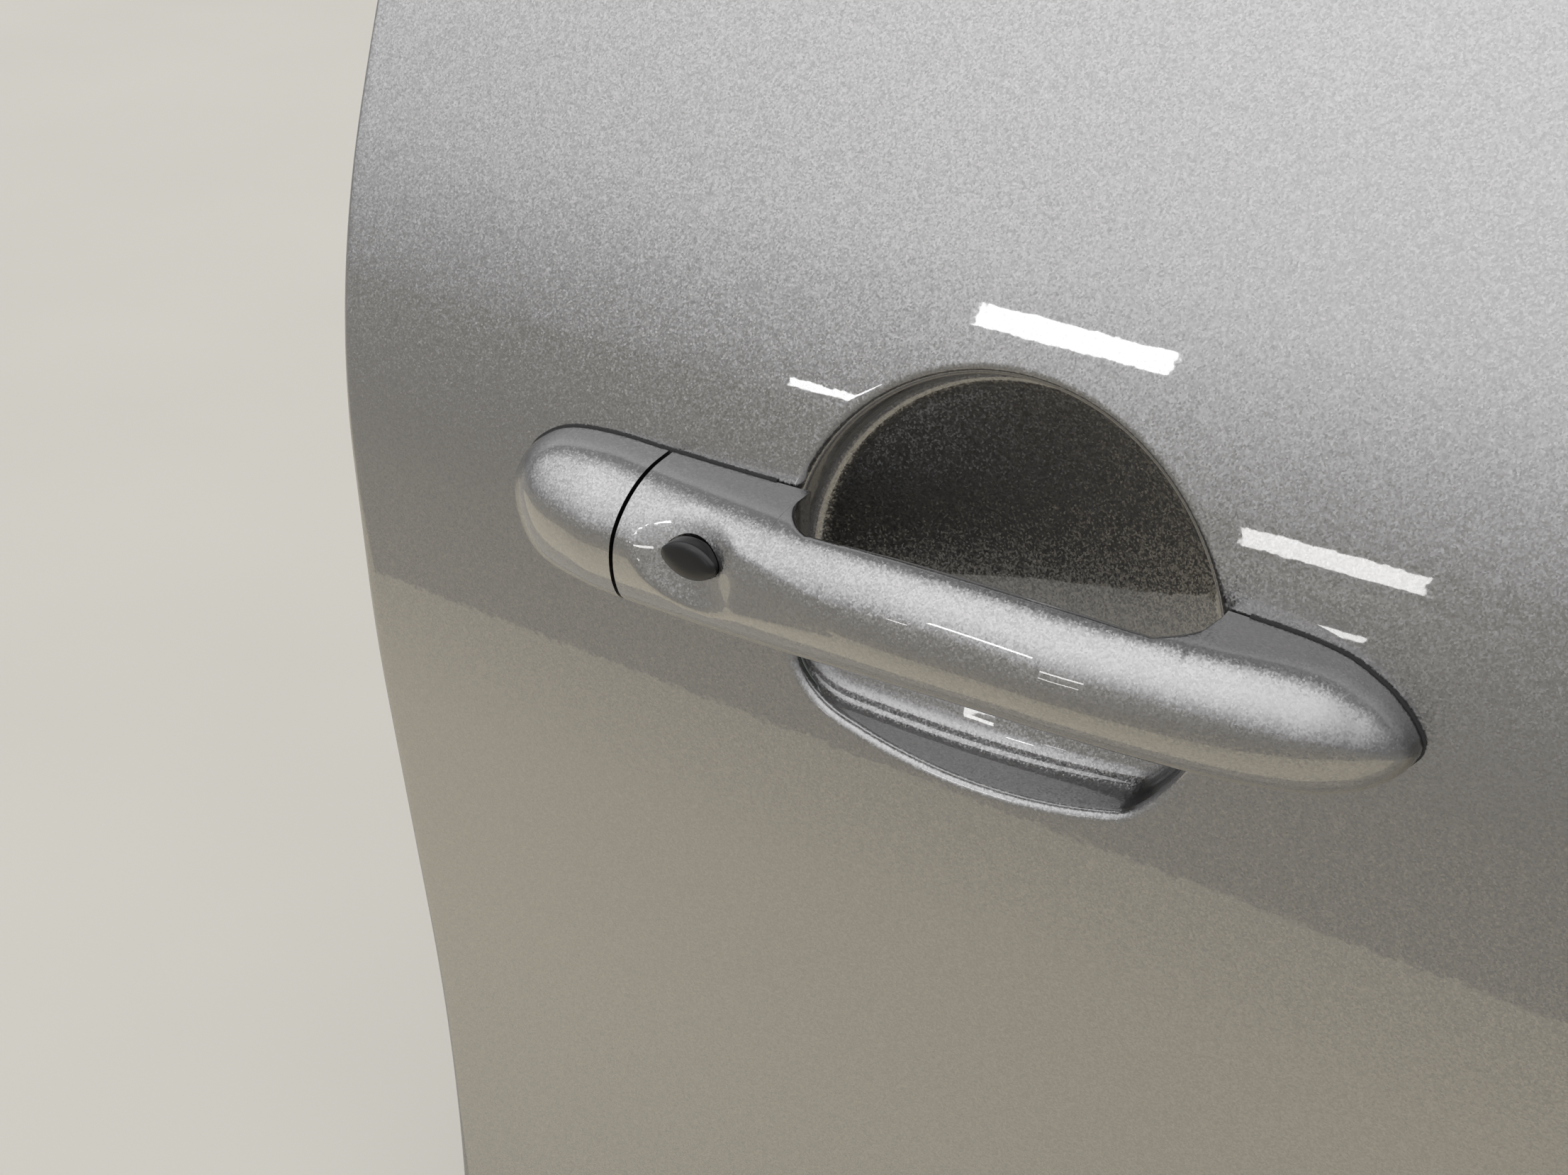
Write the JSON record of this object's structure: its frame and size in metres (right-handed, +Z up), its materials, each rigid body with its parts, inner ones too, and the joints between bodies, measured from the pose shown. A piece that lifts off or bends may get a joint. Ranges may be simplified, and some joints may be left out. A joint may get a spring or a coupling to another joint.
{
  "type": "car door outer panel with pull handle",
  "caption": "Painted outer panel of a crossover's front door with a pressed finger cup, a hinged pull handle with a lock button, and the bell crank that works the latch rod.",
  "frame": {"origin": "midway between the two screw bosses on the handle carrier's back, in their plane, level with the finger cup's axis", "axes": "+X forward along the car, +Y from the outside into the door, +Z up"},
  "size_m": [1.0397, 0.1117, 0.6196],
  "materials": {
    "body_paint": "fine metallic silver-grey with clear coat",
    "button_plastic": "satin black",
    "gasket_rubber": "matt black",
    "primed_steel": "matt grey primer",
    "damping_mat": "matt black bitumen sheet",
    "carrier_plastic": "moulded, glass-filled nylon",
    "lever_metal": "die-cast",
    "pin_steel": "zinc plated"
  },
  "bodies": {
    "panel": {"outer_skin": "body_paint", "end_cap": "body_paint", "rear_gasket": "gasket_rubber", "front_gasket": "gasket_rubber", "handle_plate": "primed_steel", "belt_rail": "primed_steel", "damping_pad_rear": "damping_mat", "damping_pad_front": "damping_mat", "handle_carrier": "carrier_plastic", "pivot_pin": "pin_steel", "lever_pin": "pin_steel"},
    "grip": {"grip": "body_paint", "grip_foot": "carrier_plastic", "grip_leg": "carrier_plastic"},
    "button": {"button": "button_plastic"},
    "lever": {"lever": "lever_metal"}
  },
  "joints": [
    {"name": "grip_pull", "type": "hinge", "parent": "panel", "child": "grip", "pos_m": [0.0945, -0.037, 0], "axis": [0, 0, 1], "range_deg": [0, 9], "stiffness_Nm_per_rad": 4, "springref_deg": -2.86},
    {"name": "button_press", "type": "slide", "parent": "grip", "child": "button", "axis": [0, 1, 0], "range_m": [0, 0.0012], "stiffness_N_per_m": 1500, "springref_m": -0.0003},
    {"name": "lever_turn", "type": "hinge", "parent": "panel", "child": "lever", "pos_m": [-0.079, -0.0228, -0.0433], "axis": [1, 0, 0], "range_deg": [0, 49]}
  ],
  "couplings": [
    {"joint": "lever_turn", "follows": "grip_pull", "ratio": 5.4444}
  ]
}
